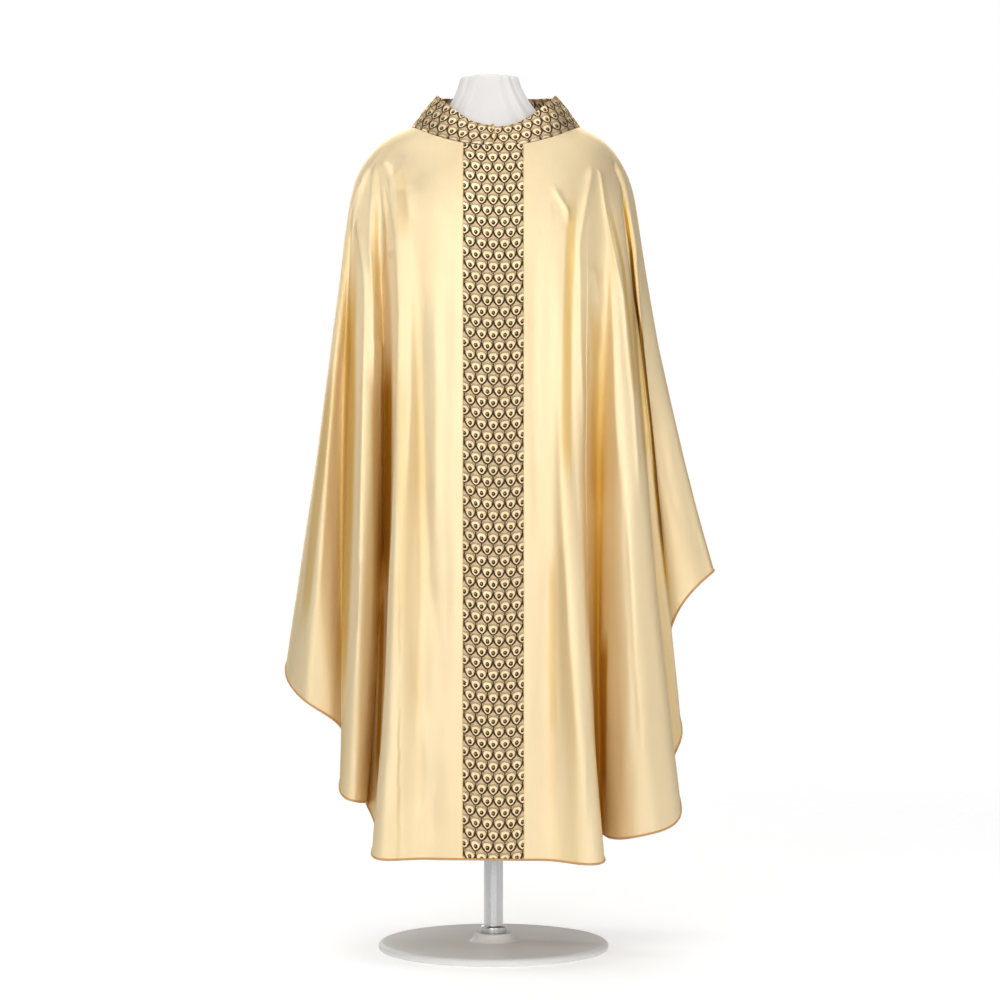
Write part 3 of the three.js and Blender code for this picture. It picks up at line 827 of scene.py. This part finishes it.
def tube(name, line, around, radius, material, sides=10):
    """A closed tube along a line of points. around gives one direction across it at each point."""
    along = unit(np.gradient(line, axis=0))
    out = unit(around - along * (around * along).sum(-1, keepdims=True))
    side = np.cross(along, out)
    turn = np.linspace(0, 2 * math.pi, sides, endpoint=False)
    rings = line[:, None] + radius * (
        out[:, None] * np.cos(turn)[None, :, None] + side[:, None] * np.sin(turn)[None, :, None]
    )
    run = np.concatenate([[0], np.cumsum(np.linalg.norm(np.diff(line, axis=0), axis=-1))]) * MM
    uv = np.stack(np.meshgrid(run, turn * radius * MM, indexing="ij"), -1)
    return new_piece(name, rings, ring_faces(len(line), sides), material, uv, sharp=80)


def band_edge(name, side):
    """A couched gold thread along one edge of the band."""
    u = CENTRE + side * (BAND_WIDTH / 2 + EDGE_RADIUS * 0.7) / BAND_STEP
    v = np.linspace(0.02, HEM_ROW - 0.01, EDGE_ROWS)
    points, normals = cloth(np.linspace(u - 0.01, u + 0.01, 3), v)
    line = points[1] + normals[1] * (SATIN_THICK / 2 + EDGE_RADIUS)
    return tube(name, line, normals[1], EDGE_RADIUS, GOLD_THREAD, sides=8)


def hem_cord(name, first, last, columns):
    """The cord along the hem between two guide lines."""
    u = np.linspace(first, last, columns)
    edge, normals = cloth(u, np.array([HEM_ROW - 0.02, HEM_ROW]))
    fall = unit(edge[:, 1] - edge[:, 0])
    edge, normals = edge[:, 1], normals[:, 1]
    along = unit(np.gradient(edge, axis=0))
    below = unit(np.cross(along, normals))
    below = np.where((below * fall).sum(-1, keepdims=True) < 0, -below, below)
    return tube(name, edge + below * CORD_RADIUS * 0.9, normals, CORD_RADIUS, CORD)


def collar_points(u, heights):
    """The collar's middle on a grid round the neck and up from the seam."""
    foot = smooth_cloth(u, np.array([0.0]))[:, 0]
    depth = np.where(foot[:, 1] < 0, NECK["front"], NECK["back"])
    turn = np.arctan2((foot[:, 0] - NECK["cx"]) / NECK["wide"], np.abs(foot[:, 1]) / depth)
    top = np.array([
        ring_point(COLLAR_TOP, COLLAR_TOP["cx"] + COLLAR_TOP["wide"] * math.sin(a), -1 if y < 0 else 1)
        for a, y in zip(turn, foot[:, 1])
    ])
    foot = foot + unit(top - foot) * COLLAR_SEAM
    h = np.asarray(heights)[None, :, None]
    return foot[:, None] * (1 - h) + top[:, None] * h


# Rows of the collar from its upper edge down, closer at the rounded edges, and how much of
# the collar's thickness each row has
COLLAR_ROWS = [
    (1, 0.3), (0.994, 0.66), (0.982, 0.88), (0.962, 0.98), (0.93, 1), (0.87, 1), (0.8, 1), (0.72, 1),
    (0.64, 1), (0.56, 1), (0.48, 1), (0.4, 1), (0.32, 1), (0.24, 1), (0.16, 1), (0.09, 1),
    (0.04, 0.98), (0.018, 0.88), (0.006, 0.66), (0, 0.3),
]
LAP_CURVE = 2.2  # how far the free end waves to each side
LAP_FADE = 16  # the wave fades in over this length
LAP_ROLL = 1.3  # the turned edge along the free end stands proud by this
LAP_CURL = 3.0  # the free end's upper corner curls outwards by this
LAP_CURL_REACH = 9
LAP_RISE = 1.3  # the lap climbs over the end below it from this many guide lines away
LAP_CLEAR = 0.6  # and clears it by this
LAP_FINE = 0.5  # the mesh is finer over this many guide lines at the free end
LAP_COLUMNS = 30
EASE = 1.6  # how unevenly the collar's upper edge stands
COLLAR_PHASE = 0.0905  # where the rows of the repeat start, in metres
BELLY = 1.6  # the collar bows outwards between its edges


def collar():
    first = CENTRE + (COLLAR_END_X - COLLAR_LAP) / BAND_STEP
    last = first + AROUND + COLLAR_LAP / BAND_STEP
    lap = np.linspace(last - LAP_FINE + 0.02, last, LAP_COLUMNS)
    u = np.concatenate([np.linspace(first, last - LAP_FINE, COLLAR_COLUMNS), lap])
    heights, fullness = np.array(COLLAR_ROWS).T
    points = collar_points(u, heights)
    normals = grid_normals(points)
    lift = smooth(np.clip(u - (last - LAP_RISE), 0, 1)) * (COLLAR_THICK + LAP_CLEAR)
    ease = value_noise(u / 1.7, np.zeros_like(u), 7)[:, None] * heights * EASE
    to_end = (last - u) * BAND_STEP
    wave = np.clip(1 - to_end / LAP_FADE, 0, 1)[:, None] * LAP_CURVE * np.sin(5.2 * heights - 0.9)
    roll = LAP_ROLL * np.exp(-((to_end - 2) / 1.8) ** 2)
    curl = LAP_CURL * np.clip(1 - to_end / LAP_CURL_REACH, 0, 1)[:, None] ** 2 * heights
    along = unit(np.gradient(points, axis=0))
    out = lift[:, None] + roll[:, None] + curl + BELLY * np.sin(np.pi * heights)[None, :] + ease
    points = points + normals * out[..., None] + along * wave[..., None]
    normals = grid_normals(points)
    middle = lengths(points, 0)[:, len(heights) // 2]
    down = lengths(points, 1)
    uv = np.stack([np.repeat(middle[:, None], len(heights), 1), down - down[:, -1:] + COLLAR_PHASE], -1)
    half = COLLAR_THICK / 2 * fullness[None, :, None]
    cloth_piece = shell("collar_cloth", points, normals, -half, half, JACQUARD_CLOTH, uv)
    edge = points[-1] + normals[-1] * (COLLAR_THICK / 2) * fullness[:, None] + along[-1] * EDGE_RADIUS
    return cloth_piece, tube("collar_end_cord", edge, normals[-1], EDGE_RADIUS * 1.3, GOLD_THREAD)


# The dress form, with the frame's sizes: torso ellipses, the rows that follow the yoke's
# inside, and the flare to the neck stub
TORSO = [
    # half width, half depth, z
    (146, 94, 700),
    (158, 104, 704),
    (167, 112, 722),
    (172, 118, 785),
    (154, 104, 960),
    (176, 119, 1125),
    (196, 119, 1190),
]
FORM_GAP = 5.5  # from the cloth's middle to the form's shoulders
REST_ROWS = (4 / 3, 1.2, 1, 0.8, 0.6, 0.4, 0.25)
NECK_FLARE = [
    # inward from the neck edge to the stub, up
    (0.35, 0.02),
    (0.62, 0.11),
    (0.68, 0.24),
    (0.72, 0.38),
    (0.81, 0.54),
    (0.9, 0.71),
    (0.965, 0.87),
]
STUB = [
    # half width, half depth, z
    (48.5, 38.5, 1429),
    (47, 37, 1433.5),
    (43, 33, 1436.3),
    (30, 22, 1435.6),
    (12, 9, 1434.8),
]
STUB_CX = -6
NECK_FOLDS = [
    # angle at the shoulder and at the top (front is -90), half width in degrees, height
    (-128, -112, 7, 2.0),
    (-112, -104, 5, -1.8),
    (-96, -84, 6, 1.8),
    (-84, -92, 5, -1.6),
    (-70, -76, 6, 1.9),
    (-58, -62, 4, -1.8),
    (-46, -56, 5, 2.0),
    (-30, -44, 5, -1.6),
    (-10, -20, 8, 1.8),
    (16, 6, 7, -1.6),
    (48, 40, 9, 1.9),
    (80, 84, 8, -1.7),
    (112, 108, 9, 1.8),
    (150, 158, 8, -1.7),
    (186, 178, 8, 1.8),
    (212, 224, 6, -1.7),
]


def smooth_rows(rows, steps):
    """More rows between the given ones, on a Catmull-Rom curve."""
    rows = np.array(rows, float)
    padded = np.concatenate([2 * rows[:1] - rows[1:2], rows, 2 * rows[-1:] - rows[-2:-1]])
    out = []
    for a, b, c, d in zip(padded, padded[1:], padded[2:], padded[3:]):
        for t in np.arange(steps) / steps:
            bend = (2 * a - 5 * b + 4 * c - d) * t ** 2 + (3 * b - a - 3 * c + d) * t ** 3
            out.append(0.5 * (2 * b + (c - a) * t + bend))
    return np.array([*out, rows[-1]])


FOLDS_END = 1.15  # the cover's folds run on past the stub's edge,
FOLDS_START = 6  # rise over the first sixth of the neck
FOLDS_CORE = 40  # and fade this near the stub's middle


def form_body():
    u = np.arange(0, AROUND, 1 / 3)
    ring = smooth_cloth(u, np.array([float(YOKE_ROWS)]))[:, 0]
    depth = np.where(ring[:, 1] < 0, SHOULDER["front"], SHOULDER["back"])
    turn = np.arctan2(ring[:, 1] / depth, (ring[:, 0] - SHOULDER["cx"]) / SHOULDER["wide"])
    ellipse = lambda wide, deep, z, cx=0: np.stack(
        [cx + wide * np.cos(turn), deep * np.sin(turn), np.full_like(turn, z)], -1
    )
    torso = [ellipse(*row) for row in smooth_rows(TORSO, 4)]
    cloth_rows = smooth_cloth(u, np.array(REST_ROWS[::-1]))
    rest_normals = grid_normals(np.concatenate([cloth_rows, cloth_rows[:1]]))[:-1]
    rest = np.moveaxis(cloth_rows - FORM_GAP * rest_normals, 1, 0)[::-1]
    stub = ellipse(*STUB[0], STUB_CX)
    neck = []
    for inward, up in smooth_rows([(0, 0), *NECK_FLARE, (1, 1)], 3)[1:-1]:
        mix = np.array([inward, inward, up])
        neck.append(rest[-1] * (1 - mix) + stub * mix)
    top = [ellipse(*row, STUB_CX) for row in smooth_rows(STUB, 3)]
    folded = np.array([*neck, *top])
    rise = np.clip(np.linspace(0, FOLDS_END, len(folded)), 0, 1)[:, None]
    degrees = np.degrees(turn)[None, :]
    out = np.zeros(folded.shape[:2])
    for low, high, half, height in NECK_FOLDS:
        away = (degrees - (low + (high - low) * rise) + 180) % 360 - 180
        out += height * np.exp(-(away / half) ** 2)
    from_axis = folded - np.array([STUB_CX, 0, 0])
    from_axis[..., 2] = 0
    reach = np.linalg.norm(from_axis, axis=-1)
    out = out * np.clip(rise * FOLDS_START, 0, 1) * np.clip(reach / FOLDS_CORE, 0, 1)
    folded = folded + unit(from_axis) * out[..., None]
    rings = np.array([*torso, *rest, *folded])
    faces = ring_faces(len(rings), len(u))
    if turn[1] < turn[0]:
        faces = [face[::-1] for face in faces]
    return new_piece("dress_form", rings, faces, LINEN, sharp=60)


def turned(name, profile, material, sides=128):
    """A solid turned round the z axis from points of radius and height, foot first."""
    turn = np.linspace(0, 2 * math.pi, sides, endpoint=False)
    points = [(r * math.cos(a), r * math.sin(a), z) for r, z in profile for a in turn]
    return new_piece(name, points, ring_faces(len(profile), sides), material)


def rounded(corners, steps=5):
    """A profile whose corners are rounded. Each corner is radius, height and rounding."""
    out = []
    for k, (r, z, size) in enumerate(corners):
        here = np.array([r, z], float)
        if size == 0:
            out.append(here)
            continue
        before = unit(np.array(corners[k - 1][:2], float) - here) * size
        after = unit(np.array(corners[k + 1][:2], float) - here) * size
        for t in np.linspace(0, 1, steps + 1):
            out.append(here + before * (1 - t) ** 2 + after * t ** 2)
    return [tuple(p) for p in out]


POLE_PROFILE = rounded([
    (4, 26.3, 0), (21, 26.3, 1.2), (21, 36, 2), (16, 38, 0.8), (16, 684, 3),
    (41, 694.6, 2), (42, 699.7, 0.8), (4, 699.7, 0),
])
BASE_PROFILE = rounded([
    (2, 0.4, 0), (180, 0.4, 0.4), (182, 0, 0.6), (188, 0, 1.5), (190, 4, 2.5), (189, 9, 3), (184, 12, 3),
    (38, 12.6, 3), (33, 18, 3), (30.5, 26, 1.2), (4, 26, 0),
])


front_left = panel("front_satin_left", 0, CENTRE)
front_right = panel("front_satin_right", CENTRE, SEAM_RIGHT)
back = panel("back_satin", SEAM_RIGHT, AROUND)
band = centre_band()
collar_piece, collar_end = collar()
edge_left = band_edge("orphrey_edge_left", -1)
edge_right = band_edge("orphrey_edge_right", 1)
cord_front = hem_cord("hem_cord_front_cloth", 0, SEAM_RIGHT, columns=420)
cord_back = hem_cord("hem_cord_back_cloth", SEAM_RIGHT, AROUND, columns=300)
form = form_body()
pole = turned("stand_pole_tube", POLE_PROFILE, STEEL)
base = turned("stand_base_disc", BASE_PROFILE, PAINT)

for piece, node, slot in (
    (front_left, "front_panel", "satin"),
    (front_right, "front_panel", "satin"),
    (back, "back_panel", "satin"),
    (band, "orphrey_front", "brocade"),
    (edge_left, None, "satin"),
    (edge_right, None, "satin"),
    (collar_piece, "collar", "brocade"),
    (collar_end, None, "satin"),
    (cord_front, "hem_cord_front", "cord"),
    (cord_back, "hem_cord_back", "cord"),
    (form, "form_body", "linen"),
    (pole, "stand_pole", "steel"),
    (base, "stand_base", "paint"),
):
    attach(piece, "root")
    if node:
        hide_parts(node)

FLOOR_RADIUS = 3.3
FLOOR_SIDES = 96
FLOOR_FADE = (0.6, 3.0)  # between these radii the floor melts into the backdrop


def stage():
    """A round white floor."""
    mesh = bpy.data.meshes.new("floor")
    turns = [2 * math.pi * k / FLOOR_SIDES for k in range(FLOOR_SIDES)]
    rim = [(FLOOR_RADIUS * math.cos(a), FLOOR_RADIUS * math.sin(a), 0) for a in turns]
    mesh.from_pydata(rim, [], [tuple(range(FLOOR_SIDES))])
    floor = bpy.data.objects.new("floor", mesh)
    m = Material("floor", Roughness=0.8, Base_Color=(0.9, 0.9, 0.9, 1), Emission_Strength=0.3)
    length = m.tree.nodes.new("ShaderNodeVectorMath")
    length.operation = "LENGTH"
    m.link(m.place(), length.inputs[0])
    m.feed("Alpha", Maths(m.tree, length.outputs["Value"]).fall(*FLOOR_FADE))
    mesh.materials.append(m.material)
    SCENE.collection.objects.link(floor)


LIGHTS = [
    # name, place, height on the axis that it points at, size, watts
    ("key_left", (-1.4, -3.7, 1.8), 0.75, (1.0, 2.0), 42),
    ("key_right", (1.6, -3.7, 1.5), 0.7, (0.9, 2.0), 35),
    ("beside_camera", (-0.5, -4.8, 0.9), 0.75, (0.5, 0.7), 10),
    ("side_left", (-2.8, 0.5, 2.3), 0.9, (1.0, 1.8), 18),
    ("side_right", (3.2, -0.7, 1.2), 0.8, (1.0, 1.8), 10),
    ("overhead", (0, -0.3, 3.3), 0.8, (2.4, 1.8), 26),
    ("high_front", (0, -2.3, 3.0), 1.0, (2.4, 1.2), 22),
    ("high_back", (0, 2.7, 3.2), 0.8, (3.2, 2.2), 44),
    ("back_left", (-1.5, 3.7, 1.6), 0.8, (2.2, 2.4), 26),
    ("back_right", (1.5, 3.7, 1.4), 0.8, (2.2, 2.4), 8),
]
HORIZON = (0.19, 0.27)  # the light from the walls fades out between these heights of the sky
SKY = 0.1
WALLS = 0.34  # how brightly the walls light the cloth
BACKDROP = 1.0  # and how bright they look


def lights():
    for name, place, aim, size, watts in LIGHTS:
        data = bpy.data.lights.new(name, "AREA")
        data.shape = "RECTANGLE"
        data.size, data.size_y = size
        data.energy = watts
        lamp = bpy.data.objects.new(name, data)
        lamp.location = place
        lamp.rotation_euler = (Vector((0, 0, aim)) - Vector(place)).to_track_quat("-Z", "Y").to_euler()
        SCENE.collection.objects.link(lamp)


def world():
    """A studio with pale walls that fade into a darker ceiling, all white to the camera."""
    studio = bpy.data.worlds.new("world")
    studio.use_nodes = True
    tree = studio.node_tree
    direction = tree.nodes.new("ShaderNodeTexCoord")
    parts = tree.nodes.new("ShaderNodeSeparateXYZ")
    ramp = tree.nodes.new("ShaderNodeMapRange")
    tree.links.new(direction.outputs["Generated"], parts.inputs[0])
    tree.links.new(parts.outputs[2], ramp.inputs["Value"])
    ramp.inputs["From Min"].default_value = HORIZON[0]
    ramp.inputs["From Max"].default_value = HORIZON[1]
    ramp.inputs["To Min"].default_value = WALLS
    ramp.inputs["To Max"].default_value = SKY
    seen = tree.nodes.new("ShaderNodeMix")
    tree.links.new(tree.nodes.new("ShaderNodeLightPath").outputs["Is Camera Ray"], seen.inputs[0])
    tree.links.new(ramp.outputs[0], seen.inputs[2])
    seen.inputs[3].default_value = BACKDROP
    tree.nodes["Background"].inputs[0].default_value = (1, 1, 1, 1)
    tree.links.new(seen.outputs[0], tree.nodes["Background"].inputs[1])
    SCENE.world = studio
    SCENE.view_settings.view_transform = "Standard"


# The camera stands level with the middle of the garment, 4.5 m in front of it
CAMERA_PLACE = (0.0107, -4.5, 0.739)
VIEW_WIDTH = 1.65  # what the picture spans at the garment's middle plane
SENSOR = 36


def camera():
    data = bpy.data.cameras.new("camera")
    data.sensor_width = SENSOR
    data.lens = SENSOR * -CAMERA_PLACE[1] / VIEW_WIDTH
    data.clip_end = 100
    cam = bpy.data.objects.new("camera", data)
    cam.location = CAMERA_PLACE
    cam.rotation_euler = (math.pi / 2, 0, 0)
    SCENE.collection.objects.link(cam)
    SCENE.camera = cam


stage()
lights()
world()
camera()
